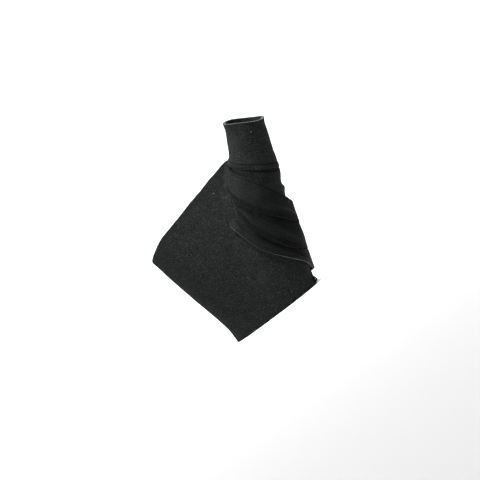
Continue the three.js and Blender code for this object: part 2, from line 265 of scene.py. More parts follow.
# The edges between the straps, from the highest down: each from the palm round the thumb's root to the back.
FAN_EDGES = [Curve(points) for points in (
    [
        [SLIT_START_X, -15.5, 85.2], [19, -14, 88.4], [29.5, -7, 89.2], [30.6, -15.5, 81.6],
        [34.8, -23, 72.8], [38.4, -25, 64.6], [42, -22, 57], [44.5, -15, 51.5], [43.5, -6, 48.5],
        [40, 2, 46], [33, 9, 44.5], [23, 14, 43.5], [12, 16, 43],
    ],
    [
        [SLIT_START_X, -16, 80], [13.2, -16, 79], [19.2, -17, 76], [23, -19, 67.2], [25.7, -22, 60.7],
        [28.8, -24, 53], [33.6, -24, 46.4], [38, -20, 40.7], [40.5, -11, 36.5], [38.5, -2, 34],
        [33, 7, 32], [24, 13, 31], [13, 16, 30.5],
    ],
    [
        [SLIT_START_X, -17, 74.5], [13.5, -17.5, 71.8], [18.8, -18, 66.6], [19, -20, 59.8], [19.5, -22, 52.6],
        [21.3, -23.5, 43], [24.9, -24, 34.9], [29.3, -22, 27.8], [34, -14, 23], [34.5, -4, 21],
        [31, 6, 19.5], [23.5, 13, 18.5], [13, 16.5, 18],
    ],
    [
        [SLIT_START_X, -17, 68.9], [8.0, -18, 64.5], [8.3, -19, 59.6], [10.7, -21, 50.9], [14.4, -22, 39.9],
        [19.5, -22, 30.7], [25, -19, 22], [30, -14, 15.5], [32.5, -7, 11.5], [31, 1, 9],
        [26.5, 9, 7.5], [20, 14.5, 6.5], [12, 17, 6],
    ],
)]


def tuck_at(s):
    """Share of the next strap's width by which a piece reaches past the edge above it."""
    back_gap = -0.07
    under = smoothstep(s, SLIT_END + 0.07, SLIT_END + 0.16)
    return lerp(TUCK * under, back_gap, smoothstep(s, 0.5, 0.6))


def strap_rise(s, t):
    """Height that a strap gains over its neighbour, then over the dorsal panel, then up to its own end."""
    over = smoothstep(s, SLIT_END, SLIT_END + 0.07) * (1 - smoothstep(t, TUCK + 0.08, TUCK + 0.35))
    rise = np.maximum(over, smoothstep(s, 0.585, 0.66)) * RAISED
    rise = rise + 0.7 * np.exp(-t / 0.1) * between(s, SLIT_END, SLIT_END + 0.05, 0.5, 0.62)
    return lerp(rise, STRAP_END_LAYER[0] - PANEL_LAYER[0], smoothstep(s, 0.67, 0.8))


def hem_point(degrees, height=0.0):
    a = np.radians(np.asarray(degrees, float))
    half_width, half_depth = HEM_HALF_SIZE
    return np.stack([half_width * np.sin(a), -half_depth * np.cos(a), np.full_like(a, height)], -1)


# A centre on the thumb's axis and two directions, towards which a ring starts and then turns.
SEAM_RING = (np.array([42.2, -15, 78.1]), np.array([0.76, 0, -0.65]), np.array([0.13, 0.98, 0.157]))
RIM_RING = (np.array([52.3, -20.7, 102.8]), np.array([0.876, 0, -0.482]), np.array([0.1, 0.97, 0.2]))
THUMB_AXIS = unit(RIM_RING[0] - SEAM_RING[0])


def on_ring(ring, turn, lift=0.0):
    """A point a share of a turn round a ring, moved along the thumb by lift."""
    centre, side, back = ring
    a = np.asarray(turn, float)[..., None] * TAU
    around = THUMB_RING * np.cos(a) * side + THUMB_RING * np.sin(a) * back
    return centre + around + np.asarray(lift)[..., None] * THUMB_AXIS


# ---- cloth meshes

OUTER, INNER, FOAM = 0, 1, 2
REFERENCE_ROW = HAND_ROWS[3]  # the section whose girth gives the knit its width


def knit_place(p):
    """Where a point is on the knit, in mm: round the hand, and up it. It's the same for every piece."""
    _, ulnar, radial, palmar, dorsal = REFERENCE_ROW
    middle = np.array([(ulnar + radial) / 2, (palmar + dorsal) / 2])
    size = np.array([(radial - ulnar) / 2, (dorsal - palmar) / 2])
    turns = np.linspace(-np.pi, np.pi, 721)
    ray = np.stack([np.sin(turns), -np.cos(turns)], -1)
    reach = (np.abs(ray / size) ** HAND_SQUARENESS).sum(1) ** (-1 / HAND_SQUARENESS)
    girth = np.concatenate([[0], np.cumsum(np.linalg.norm(np.diff(ray * reach[:, None], axis=0), axis=1))])
    angle = np.arctan2(p[:, 0] - middle[0], -(p[:, 1] - middle[1]))
    return np.stack([np.interp(angle, turns, girth), p[:, 2], np.zeros(len(p))], -1)


def set_values(mesh, name, values):
    """An attribute with a number or a vector at each point."""
    kind, field = ("FLOAT_VECTOR", "vector") if values.ndim == 2 else ("FLOAT", "value")
    attribute = mesh.attributes.new(name, kind, "POINT")
    attribute.data.foreach_set(field, values.astype(np.float32).ravel())


def add_object(name, data):
    made = bpy.data.objects.new(name, data)
    bpy.context.scene.collection.objects.link(made)
    return made


def new_object(name, vertices, faces, materials, face_material=None, sharp=None, normals=None, knit=None,
               tones=None):
    """A smooth-shaded mesh. Its attributes keep each point's place at rest, for the materials to read."""
    mesh = bpy.data.meshes.new(name)
    mesh.from_pydata(((vertices - FOOTPRINT_CENTRE) * MM).tolist(), [], faces)
    for material in materials:
        mesh.materials.append(material)
    mesh.polygons.foreach_set("use_smooth", np.ones(len(faces), bool))
    if face_material is not None:
        mesh.polygons.foreach_set("material_index", np.asarray(face_material, np.int32))
    set_values(mesh, "rest", vertices)
    if knit is not None:
        set_values(mesh, "knit", knit)
    for key, values in (tones or {}).items():
        set_values(mesh, key, values)
    if sharp:
        ends = np.zeros(len(mesh.edges) * 2, np.int32)
        mesh.edges.foreach_get("vertices", ends)
        ends = np.sort(ends.reshape(-1, 2), axis=1)
        attribute = mesh.attributes.new("sharp_edge", "BOOLEAN", "EDGE")
        attribute.data.foreach_set("value", np.array([(a, b) in sharp for a, b in ends.tolist()]))
    if normals is not None:
        mesh.normals_split_custom_set_from_vertices(normals.tolist())
    return add_object(name, mesh)


def grid_faces(index, around):
    """Four-sided faces between a grid's points. around closes it from the last column to the first."""
    following = np.roll(index, -1, axis=0)
    if not around:
        index, following = index[:-1], following[:-1]
    quads = np.stack([index[:, :-1], following[:, :-1], following[:, 1:], index[:, 1:]], -1)
    return quads.reshape(-1, 4)


def outline(columns, rows, around):
    """The grid's rim as loops of (column, row)."""
    if around:
        return [[(i, 0) for i in range(columns)], [(i, rows - 1) for i in range(columns)]]
    there = [(i, 0) for i in range(columns)] + [(columns - 1, j) for j in range(1, rows)]
    back = [(i, rows - 1) for i in reversed(range(columns - 1))]
    return [there + back + [(0, j) for j in reversed(range(1, rows - 1))]]


def surface_normal(on, normal):
    """The normal of a layer over the former that shares its rise and fall."""
    step = 0.05
    slope = np.stack([(give(on + step * e) - give(on - step * e)) / (2 * step) for e in np.eye(3)], -1)
    slope = slope - (slope * normal).sum(-1, keepdims=True) * normal
    return unit(normal - slope)


def rim_shape(outer, normal, loop, around, free, ragged):
    """A rim's columns and rows in the grid, with how far its points are pushed outward and lifted."""
    columns, rows = free.shape
    i, j = np.array(loop).T
    inside = (i if around else np.clip(i, 1, columns - 2), np.clip(j, 1, rows - 2))
    off = unit(outer[i, j] - outer[inside])
    cut = free[i, j][:, None]
    grain = 0.6 * waves(outer[i, j], 2.3, 21) + 0.4 * waves(outer[i, j], 0.9, 22)
    return i, j, cut * (RIM_SWELL + ragged * grain)[:, None] * off, cut * normal[i, j]


def wall_faces(rings, flip):
    """Faces that join each ring of points to the next."""
    walls = [np.stack([a, np.roll(a, -1), np.roll(b, -1), b], -1) for a, b in zip(rings, rings[1:])]
    return [wall[:, ::-1] if flip else wall for wall in walls]


def cloth(name, seeds, layer, materials, around=False, free=None, relief=0.0, ragged=0.1, flare=0.0,
          knit=None, painted_shade=None, painted_side_shade=None, bevel=None):
    """A cut piece of cloth laid on the former, with a band of bare foam round its cut edge.

    seeds is a grid of points near the former, and layer the heights of both faces above it. free is 1 where
    the rim is cut and 0 where the cloth runs on into another piece. relief raises or sinks the outer face.
    ragged and flare are how far the cut edge wanders and turns out. knit overrides the knit's own place.
    painted_shade is 1 where shade is painted into the knit: in stitch grooves, along seam rows and under
    lapping edges; painted_side_shade is 1 where the knit is darkened as painted shade on the side turned from
    the lamps.
    bevel is how far in mm the cut slants out towards the inner face.
    """
    on, normal = settle(seeds)
    columns, rows = on.shape[:2]
    count = columns * rows
    free = np.ones((columns, rows)) if free is None else free
    rise = give(on)
    inner = on + normal * (layer[0] + rise)[..., None]
    outer = on + normal * (layer[1] + rise + relief)[..., None]
    index = np.arange(count).reshape(columns, rows)
    quads = grid_faces(index, around)
    faces = [quads + count, quads[:, ::-1]]
    kinds = [np.full(len(quads), OUTER), np.full(len(quads), INNER)]
    rims = [rim_shape(outer, normal, loop, around, free, ragged) for loop in outline(columns, rows, around)]
    edge = np.zeros((columns, rows))
    run_on = np.zeros((columns, rows), bool)
    rim_points, sharp = [], set()
    start = 2 * count
    for i, j, push, lift in rims:
        inner[i, j] += 0.7 * flare * lift + 0.5 * push
        if bevel is not None:
            inner[i, j] += bevel[i, j][:, None] * unit(push + 1e-9)
        outer[i, j] += (flare - EDGE_SINK) * lift + 0.5 * push
        edge[i, j] = free[i, j]
        run_on[i, j] = free[i, j] < 1e-3
        rim_points += [lerp(inner[i, j], outer[i, j], share) + 0.5 * push for share in (0.3, 0.7)]
        along = np.arange(len(i))
        rings = [index[i, j], start + along, start + len(i) + along, index[i, j] + count]
        start += 2 * len(i)
        faces += wall_faces(rings, around and j[0] == rows - 1)
        kinds += [np.full(len(i), FOAM)] * 3
        for ring in (rings[0], rings[3]):
            sharp.update(tuple(sorted(pair)) for pair in zip(ring.tolist(), np.roll(ring, -1).tolist()))
    rim_points = np.concatenate(rim_points)
    vertices = np.concatenate([inner.reshape(-1, 3), outer.reshape(-1, 3), rim_points])
    tones = {}
    for key, values, rim_value in (("near_edge", edge, 1), ("painted_shade", painted_shade, 0), ("painted_side_shade", painted_side_shade, 0)):
        on_face = (np.zeros((columns, rows)) + (0 if values is None else values)).ravel()
        tones[key] = np.concatenate([on_face, on_face, np.full(len(rim_points), rim_value)])
    faces = np.concatenate(faces)
    a, b, c, d = (vertices[faces[:, q]] for q in range(4))
    if np.einsum("ij,ij->", a, np.cross(b, c) + np.cross(c, d)) < 0:
        faces = faces[:, ::-1]
    normals = np.zeros_like(vertices)
    normals[count:2 * count][run_on.ravel()] = surface_normal(on, normal)[run_on]
    if knit is None:
        place = knit_place(vertices)
    else:
        rim_knit = [knit[i, j] for i, j, _, _ in rims for _ in range(2)]
        place = np.concatenate([knit.reshape(-1, 3), knit.reshape(-1, 3), *rim_knit])
    return new_object(name, vertices, faces.tolist(), materials, np.concatenate(kinds), sharp,
                      normals if run_on.any() else None, place, tones)


def lay(seeds, height):
    """Points at a height above the former, with the cloth's rise and fall."""
    on, normal = settle(seeds)
    return on + normal * (np.asarray(height) + give(on))[..., None]


# ---- thread meshes


def threads(name, strokes, radius, material, sides=6):
    """One mesh of many short strands, each a tube along its own line with narrowed ends."""
    turn = np.arange(sides) / sides * TAU
    vertices, faces = [], []
    base = 0
    tip_share = 0.45
    for line in strokes:
        along = unit(np.gradient(line, axis=0))
        other = np.where(np.abs(along[:, 1:2]) < 0.9, [[0.0, 1.0, 0.0]], [[1.0, 0.0, 0.0]])
        x = unit(np.cross(along, other))
        y = np.cross(along, x)
        width = np.full(len(line), radius)
        width[[0, -1]] *= tip_share
        ring = np.cos(turn)[None, :, None] * x[:, None] + np.sin(turn)[None, :, None] * y[:, None]
        vertices.append((line[:, None] + ring * width[:, None, None]).reshape(-1, 3))
        rings = base + np.arange(len(line) * sides).reshape(len(line), sides)
        following = np.roll(rings, -1, axis=1)
        quads = np.stack([rings[:-1], following[:-1], following[1:], rings[1:]], -1).reshape(-1, 4)
        faces += quads.tolist() + [rings[0, ::-1].tolist(), rings[-1].tolist()]
        base += len(line) * sides
    return new_object(name, np.concatenate(vertices), faces, [material])


def stitches(path, height, pitch, length_mm, across=0.0, skip=0.0):
    """A row of stitches along path(s, offset). Each rises out of the cloth and dives back in."""
    count = max(int(length_mm / pitch), 2)
    stops = np.linspace(0, 1, count + 1)
    profile = np.linspace(0, 1, 7)[None, :]
    stage = lerp(stops[:-1, None], stops[1:, None], skip + (1 - 2 * skip) * profile)
    arch = -0.25 + 0.45 * np.sin(np.pi * profile) ** 0.5
    return list(lay(path(stage, np.full_like(stage, across)), height(stage) + arch))


def cover(path, height, pitch, length_mm, width):
    """The threads that cross a flatlock seam from row to row, leaning one way then the other."""
    count = max(int(length_mm / pitch), 2)
    stops = np.linspace(0, 1, count + 1)
    profile = np.linspace(0, 1, 7)[None, :]
    lines = []
    for lean in (0.15, 0.55):
        for side in (-1, 1):
            stage = lerp(stops[:-1, None], stops[1:, None], lean + 0.4 * side * (profile - 0.5))
            offset = (profile - 0.5) * width + 0 * stage
            arch = -0.12 + 0.3 * np.sin(np.pi * profile) ** 0.4 + 0.05 * (side > 0)
            lines += list(lay(path(stage, offset), height(stage) + arch))
    return lines


def flatlock(node, path, face, length_mm, pitch=2.3):
    """A seam's two rows of stitches, darkened as painted shade, with paler cover threads between them."""
    def height(s):
        return face + 0.02 + 0 * s

    crossing = cover(path, height, pitch, length_mm, FLATLOCK_WIDTH)
    place_thread(threads(f"{node}_covers", crossing, THREAD_RADIUS, THREAD), node)
    rows = []
    for side in (-0.5, 0.5):
        rows += stitches(path, height, pitch, length_mm, side * FLATLOCK_WIDTH)
    place_thread(threads(f"{node}_rows", rows, THREAD_RADIUS, SHADE_DARKENED_THREAD))


# ---- materials


class Graph:
    """A material's node tree, with short calls for the nodes that these materials repeat."""

    def __init__(self, name):
        self.material = bpy.data.materials.new(name)
        self.material.use_nodes = True
        self.tree = self.material.node_tree
        self.shader = self.tree.nodes["Principled BSDF"]

    def node(self, kind, settings=None, **inputs):
        made = self.tree.nodes.new(kind)
        for key, value in (settings or {}).items():
            setattr(made, key, value)
        for key, value in inputs.items():
            self.put(made.inputs[key.replace("_", " ")], value)
        return made

    def put(self, socket, value):
        if isinstance(value, bpy.types.NodeSocket):
            self.tree.links.new(value, socket)
        else:
            socket.default_value = value

    def set(self, name, value):
        self.put(self.shader.inputs[name], value)

    def math(self, operation, *values):
        made = self.node("ShaderNodeMath", {"operation": operation})
        for socket, value in zip(made.inputs, values):
            self.put(socket, value)
        return made.outputs[0]

    def attribute(self, name, output="Vector"):
        return self.node("ShaderNodeAttribute", {"attribute_name": name}).outputs[output]

    def noise(self, place, size_mm, detail=2.0, rough=0.5):
        inputs = {"Vector": place, "Scale": 1 / size_mm, "Detail": detail, "Roughness": rough}
        return self.node("ShaderNodeTexNoise", **inputs).outputs["Fac"]

    def blend(self, share, low, high):
        made = self.node("ShaderNodeMix", {"data_type": "RGBA"})
        self.put(made.inputs["Factor"], share)
        self.put(made.inputs["A"], low)
        self.put(made.inputs["B"], high)
        return made.outputs["Result"]

    def ramp(self, value, low, high, start=0.0, end=1.0):
        made = self.node("ShaderNodeMapRange", {"clamp": True})
        for socket, entry in zip(made.inputs, (value, low, high, start, end)):
            self.put(socket, entry)
        return made.outputs["Result"]

    def bump(self, height, distance_mm, strength=1.0, under=None):
        made = self.node("ShaderNodeBump", Height=height, Distance=distance_mm * MM, Strength=strength)
        if under is not None:
            self.put(made.inputs["Normal"], under)
        return made.outputs["Normal"]


def knit_height(g, wale_mm, course_mm):
    """Jersey: columns of V-shaped stitches."""
    axes = g.node("ShaderNodeSeparateXYZ", Vector=g.attribute("knit"))
    across = g.math("DIVIDE", axes.outputs["X"], wale_mm)
    along = g.math("DIVIDE", axes.outputs["Y"], course_mm)
    leg = g.math("ABSOLUTE", g.math("SUBTRACT", g.math("FRACT", across), 0.5))
    column = g.math("ABSOLUTE", g.math("SINE", g.math("MULTIPLY", across, TAU)))
    slope = g.math("ADD", along, g.math("MULTIPLY", leg, 1.4))
    loops = g.ramp(g.math("SINE", g.math("MULTIPLY", slope, TAU)), -1, 1)
    wale = g.math("POWER", column, 0.6)
    return g.math("MULTIPLY", wale, g.math("ADD", g.math("MULTIPLY", loops, 0.65), 0.35))


def jersey(name, dark, light, wale_mm, course_mm, lint=True):
    """The knit that faces the neoprene: matt black, faintly mottled, with fuzz, pale lint, worn edges and
    painted shade.
    """
    g = Graph(name)
    rest = g.attribute("rest")
    height = knit_height(g, wale_mm, course_mm)
    cloudy = g.noise(rest, 7.0, 4.0, 0.6)
    grain = g.noise(rest, 0.62, 2.0, 0.8)
    speckle = g.noise(rest, 0.45, 1.0)
    tone = g.blend(g.ramp(cloudy, 0.35, 0.65, 0.25, 0.75), dark, light)
    bright, deep = [tuple(factor * c for c in light[:3]) + (1,) for factor in (4.0, 0.2)]
    tone = g.blend(g.ramp(grain, 0.5, 0.70, 0, 0.75), tone, bright)
    tone = g.blend(g.ramp(grain, 0.48, 0.30, 0, 0.8), tone, deep)
    # painted shade: the knit's low places between its loops are darkened
    tone = g.blend(g.ramp(height, 0.35, 0.0, 0, 0.45), tone, deep)
    # painted shade: darker on the side turned from the lamps
    tone = g.blend(g.ramp(g.attribute("painted_side_shade", "Fac"), 0, 1, 0, 0.66), tone, deep)
    # painted shade: near black in stitch grooves, along seam rows and under lapping strap edges
    tone = g.blend(g.ramp(g.attribute("painted_shade", "Fac"), 0, 1, 0, 0.9), tone, (0.0006, 0.0007, 0.0007, 1))
    worn = g.math("MULTIPLY", g.ramp(g.attribute("near_edge", "Fac"), 0.4, 1.0), g.ramp(speckle, 0.35, 0.7))
    tone = g.blend(g.math("MULTIPLY", worn, 0.2), tone, (0.02, 0.0208, 0.0208, 1))
    if lint:
        cells = g.node("ShaderNodeTexVoronoi", Vector=rest, Scale=1 / 6.5)
        pick = g.node("ShaderNodeSeparateXYZ", Vector=cells.outputs["Color"])
        rare = g.math("GREATER_THAN", pick.outputs["X"], 0.86)
        fleck = g.math("LESS_THAN", cells.outputs["Distance"], 0.035)
        tone = g.blend(g.math("MULTIPLY", g.math("MULTIPLY", rare, fleck), 0.55), tone, (0.28, 0.28, 0.27, 1))
    g.set("Base Color", tone)
    g.set("Roughness", g.ramp(g.math("ADD", g.math("MULTIPLY", height, 0.5), cloudy), 0.2, 1.2, 0.97, 0.82))
    g.set("Specular IOR Level", 0.05)
    g.set("Sheen Weight", 0.008)
    g.set("Sheen Roughness", 0.45)
    g.set("Sheen Tint", (0.62, 0.65, 0.65, 1))
    ripple = g.bump(g.math("ADD", g.noise(rest, 1.6, 3.0, 0.6), grain), 0.16, 0.7)
    g.set("Normal", g.bump(height, 0.07, 0.8, ripple))
    return g.material


def bare_foam(name, dark, light):
    """Cut neoprene foam: grey, full of fine cells, with painted shade in the cells."""
    g = Graph(name)
    rest = g.attribute("rest")
    cells = g.node("ShaderNodeTexVoronoi", Vector=rest, Scale=1 / 0.32).outputs["Distance"]
    patch = g.noise(rest, 3.0, 3.0)
    tone = g.blend(g.ramp(patch, 0.3, 0.7), dark, light)
    # painted shade: dark spots at the cells' middles, like open pores
    tone = g.blend(g.ramp(cells, 0.45, 0.1, 0, 0.5), tone, (0.005, 0.005, 0.005, 1))
    g.set("Base Color", tone)
    g.set("Roughness", g.ramp(patch, 0.3, 0.7, 0.86, 0.98))
    g.set("Specular IOR Level", 0.2)
    g.set("Normal", g.bump(cells, 0.12, 0.8))
    return g.material


def yarn(name, dark, light, roughness, twist_mm=0.5):
    """Thread, hooks and pile: fine strands with a twist."""
    g = Graph(name)
    rest = g.attribute("rest")
    wave = g.node("ShaderNodeTexWave", {"bands_direction": "DIAGONAL"}, Vector=rest,
                  Scale=1 / (TAU * twist_mm), Distortion=1.5)
    patch = g.noise(rest, 2.5, 2.0)
    share = g.math("MULTIPLY", g.ramp(patch, 0.3, 0.7), wave.outputs["Fac"])
    g.set("Base Color", g.blend(share, dark, light))
    g.set("Roughness", g.ramp(patch, 0.3, 0.7, roughness - 0.08, roughness + 0.08))
    g.set("Specular IOR Level", 0.08)
    g.set("Sheen Weight", 0.02)
    g.set("Normal", g.bump(wave.outputs["Fac"], 0.05, 0.7))
    return g.material


def pale_ground(name, tone, shade):
    """Matt paper between two greys, for the floor and backdrop."""
    g = Graph(name)
    place = g.node("ShaderNodeTexCoord").outputs["Object"]
    patch = g.node("ShaderNodeTexNoise", Vector=place, Scale=3.0, Detail=2.0).outputs["Fac"]
    g.set("Base Color", g.blend(patch, (tone, tone, tone, 1), (shade, shade, shade, 1)))
    g.set("Roughness", g.ramp(patch, 0.3, 0.7, 0.85, 0.95))
    return g.material


def grey(red, green, blue):
    return (red, green, blue, 1)


OUTER_JERSEY = jersey("outer_jersey", grey(0.0045, 0.0052, 0.0050), grey(0.0075, 0.0085, 0.0082), 0.52, 0.42)
INNER_JERSEY = jersey(
    "inner_jersey", grey(0.0048, 0.0052, 0.0054), grey(0.0075, 0.0078, 0.0082), 0.60, 0.45, lint=False)
STRETCH = jersey("gusset_stretch", grey(0.0043, 0.0049, 0.0048), grey(0.0071, 0.0080, 0.0078), 0.42, 0.34)
# foam darkened near black as painted shade, so that cut edges read as shadow lines
SHADE_DARKENED_FOAM = bare_foam("bare_foam", grey(0.0035, 0.0036, 0.0036), grey(0.008, 0.0082, 0.008))
RIM_FOAM = bare_foam("rim_foam", grey(0.020, 0.0215, 0.0205), grey(0.085, 0.090, 0.084))
EDGE_FOAM = bare_foam("edge_foam", grey(0.015, 0.0155, 0.0155), grey(0.07, 0.071, 0.069))
THREAD = yarn("thread", grey(0.0040, 0.0047, 0.0045), grey(0.0230, 0.0260, 0.0250), 0.65)
# black thread made darker than THREAD: the extra darkness is painted shade of stitch holes and grooves
SHADE_DARKENED_THREAD = yarn("shade_darkened_thread", grey(0.0012, 0.0013, 0.0013), grey(0.0050, 0.0054, 0.0053), 0.8)
# a pale thread end that is a painted highlight on the knot
HIGHLIGHT_THREAD = yarn("highlight_thread", grey(0.10, 0.10, 0.10), grey(0.35, 0.35, 0.34), 0.6)
HOOK = yarn("hook", grey(0.006, 0.0062, 0.0065), grey(0.016, 0.0165, 0.017), 0.42)
PILE = yarn("pile", grey(0.008, 0.0085, 0.0088), grey(0.020, 0.021, 0.021), 0.8)
CLOTH = [OUTER_JERSEY, INNER_JERSEY, SHADE_DARKENED_FOAM]

# ---- cut pieces


def grid(columns, rows):
    """Two arrays from 0 to 1: the share along a piece, and the share across it."""
    return np.meshgrid(np.linspace(0, 1, columns), np.linspace(0, 1, rows), indexing="ij")


def piecewise(s, share, first, second):
    """first over the share of s before share, and second over the rest, each from 0 to 1."""
    early = first(np.clip(s / share, 0, 1))
    late = second(np.clip((s - share) / (1 - share), 0, 1))
    return np.where((s <= share)[..., None], early, late)


def dent(distance, depth, width):
    """A groove that stitches pull into the cloth, at the given distances in mm from its middle."""
    return -depth * bell(distance, width)


def fan_point(k, s):
    """Fan edge k, with its root moved onto the palm panel's side."""
    p = FAN_EDGES[k](s)
    p[..., 0] -= (SLIT_START_X - FAN_ROOT_X) * (1 - smoothstep(s, 0, 0.04))
    return p


def strap_edge(k, s):
    """The upper edge of the piece below fan edge k, from the palm panel's side."""
    edge = fan_point(k, s)
    return edge if k == 0 else lerp(edge, fan_point(k - 1, s), tuck_at(s)[..., None])


def on_strap(k, s, t):
    return lerp(fan_point(k + 1, s), strap_edge(k, s), t[..., None])


def across_fan(s, t):
    """A point over all three straps: the stage s along them, and the share t up from the lowest edge."""
    s, t = np.broadcast_arrays(np.asarray(s, float), np.asarray(t, float))
    k = np.minimum((t * 3).astype(int), 2)
    edges = np.stack([curve(s) for curve in FAN_EDGES])
    low, high = (np.take_along_axis(edges, (k + n)[None, ..., None], 0)[0] for n in (0, 1))
    return lerp(low, high, (t * 3 - k)[..., None])


def palm_seeds(s, t):
    top = Curve([
        [-33, 9, 68.5], [-37.5, 3, 68.6], [-37.5, -4, 70], [-33.5, -10, 73.3], [-28, -13, 76.3],
        [-19.6, -15, 78.5], [-10, -15.8, 80.9], [-1.7, -16, 83.2], [FAN_ROOT_X, -15.5, 85.2],
    ])
    strap_roots = np.stack([fan_point(k, 0) for k in range(4)])

    def roots(q):
        k = np.minimum((q * 3).astype(int), 2)
        return lerp(strap_roots[k], strap_roots[k + 1], (q * 3 - k)[..., None])

    def flat_edge(q):
        return piecewise(q, PALM_CORNER / PALM_SLITS, top, roots)

    upper = piecewise(s, PALM_SLITS, flat_edge, lambda q: strap_edge(3, q * RADIAL_STAGE))
    angles = Curve([
        [0, ULNAR_ANGLE, 0], [PALM_CORNER, 8, 0], [PALM_SLITS, 24, 0], [1, RADIAL_ANGLE - SEAM_ANGLE_GAP, 0],
    ])(s)[..., 1]
    return lerp(hem_point(angles), upper, t[..., None])


def make_palm():
    s, t = grid(260, 120)
    stage = (s - PALM_SLITS) / (1 - PALM_SLITS) * RADIAL_STAGE
    joined = np.where(s < PALM_CORNER, 0, 1 - smoothstep(stage, SLIT_END, SLIT_END + 0.03))
    free = 1 - np.where(t == 1, joined, 0)
    free[0] = free[-1] = SEWN
    seeds = palm_seeds(s, t)
    reach = np.linalg.norm(seeds - seeds[:1], axis=-1)
    from_top = (1 - t) * np.linalg.norm(seeds[:, -1:] - seeds[:, :1], axis=-1)
    # painted shadow just under the lower strap's lapping edge
    shade = np.where(s > PALM_SLITS, painted_shadow_under_edge(np.clip(stage, 0, 1), from_top), 0)
    # painted shade: darker towards the radial side, which is turned from the lamps
    side = 0.55 * smoothstep(seeds[..., 0], 8, 30)
    return cloth("palm_cloth", seeds, PANEL_LAYER, CLOTH, free=free, relief=dent(reach, *SEAM_DENT),
                 painted_shade=shade, painted_side_shade=side)


def dorsal_seeds(s, t):
    top = Curve([
        [-32.8, 9.2, 68.5], [-22, 13, 71], [-8, 13.5, 74], [7, 13, 77.5], [18, 11, 81], [25.5, 9, 83.8],
        [30.5, 4.5, 85.5],
    ])
    thumb = Curve([
        [30.5, 4.5, 85.5], [33, 3, 81.5], [36, 4, 77], [40, 3.5, 72.5], [44.5, -1, 69], [47, -4, 64],
        [47.2, -4.5, 57], [46, -3, 50], [45, -3, 47],
    ])

    def free_edge(q):
        return piecewise(q, DORSAL_CORNER / DORSAL_THUMB, top, thumb)

    upper = piecewise(s, DORSAL_THUMB, free_edge, lambda q: across_fan(RADIAL_STAGE + RADIAL_STAGE_GAP, q))
    angles = Curve([
        [0, ULNAR_ANGLE - SEAM_ANGLE_GAP, 0], [DORSAL_CORNER, -245, 0], [DORSAL_THUMB, -268, 0],
        [1, RADIAL_ANGLE + SEAM_ANGLE_GAP - 360, 0],
    ])(s)[..., 1]
    # Straight lines would cut through the hand, so they bow outwards.
    bow = np.sin(np.pi * t) * between(s, 0.2, 0.5, 0.75, 1)
    return lerp(hem_point(angles), upper, t[..., None]) + bow[..., None] * np.array([3, 10, 0])


def make_dorsal():
    s, t = grid(230, 120)
    free = np.ones_like(s)
    free[0] = free[-1] = SEWN
    seeds = dorsal_seeds(s, t)
    reach = np.linalg.norm(seeds - seeds[:1], axis=-1)
    nub = np.linalg.norm(seeds - np.array([47.2, -4.5, 58.0]), axis=-1)
    relief = dent(reach, *SEAM_DENT) - dent(nub, 0.9, 1.6)
    return cloth("dorsal_cloth", seeds, PANEL_LAYER, CLOTH, free=free, relief=relief)


def around_thumb(turn, drop):
    """The knit's place on the pieces that go round the thumb, in mm."""
    return np.stack([turn * TAU * 10.5, drop, 0 * turn], -1)


def beside_seam(s, reach, phase=0):
    """Relief at reach mm from the thumb's seam: a groove, with ripples; and painted shade along the seam's
    stitch rows.
    """
    ripple = 0.12 * np.sin(s * TAU * STITCHED_LOOPS + phase) * bell(reach - 1.2, 1.1)
    return dent(reach - 1.3, 0.22, 0.7) + ripple, bell(reach - FLATLOCK_WIDTH / 2, 0.5)


def make_gusset():
    s, t = grid(181, 80)
    s, t = s[:-1], t[:-1]
    loop_points = [
        [43, -2, 20], [43, 3, 42], [38, 5, 60], [30, 8, 72], [30, 1, 83], [25, -13, 83], [22, -22, 70],
        [22, -24, 52], [26, -24, 34], [34, -18, 22],
    ]
    lead = 2
    wrapped = Curve(loop_points[-lead:] + loop_points + loop_points[:lead + 1])
    loop = wrapped((s * len(loop_points) + lead) / wrapped.spans)
    seeds = lerp(loop, on_ring(SEAM_RING, s, -SEAM_GAP), t[..., None])
    climb = smoothstep(t, 0.78, 0.95)
    layer = [lerp(low, high, climb) for low, high in zip(GUSSET_LAYER, SLEEVE_LAYER)]
    free = np.where(t == 1, 0.15, 0.6)
    # the second value is painted shade along the seam's stitch rows
    relief, rows = beside_seam(s, (1 - t) * GUSSET_REACH)
    return cloth("gusset_cloth", seeds, layer, [STRETCH, INNER_JERSEY, SHADE_DARKENED_FOAM], around=True, free=free,
                 relief=relief, ragged=0.05, knit=around_thumb(s, t * GUSSET_KNIT_LENGTH), painted_shade=rows)


def make_sleeve():
    s, t = grid(181, 56)
    s, t = s[:-1], t[:-1]
    seeds = lerp(on_ring(SEAM_RING, s, SEAM_GAP), on_ring(RIM_RING, s), t[..., None])
    free = np.where(t == 0, 0.15, 1.0)
    # the second value is painted shade along the seam's stitch rows
    relief, rows = beside_seam(s, t * SLEEVE_LENGTH, phase=1)
    rim_flare = 0.3 * smoothstep(t, 0.86, 1)
    uneven = 0.25 * np.sin(s * TAU * 3 + 1) * smoothstep(t, 0.7, 1)
    seeds = seeds + uneven[..., None] * THUMB_AXIS
    knit = around_thumb(s, t * SLEEVE_LENGTH + GUSSET_KNIT_LENGTH)
    return cloth("sleeve_cloth", seeds, SLEEVE_LAYER, [OUTER_JERSEY, INNER_JERSEY, RIM_FOAM], around=True,
                 free=free, relief=relief + rim_flare, ragged=0.34, flare=0.3, knit=knit, painted_shade=rows)


STRAPS = ("upper", "middle", "lower")
LOWER = STRAPS.index("lower")  # the one strap whose edge has no stitches


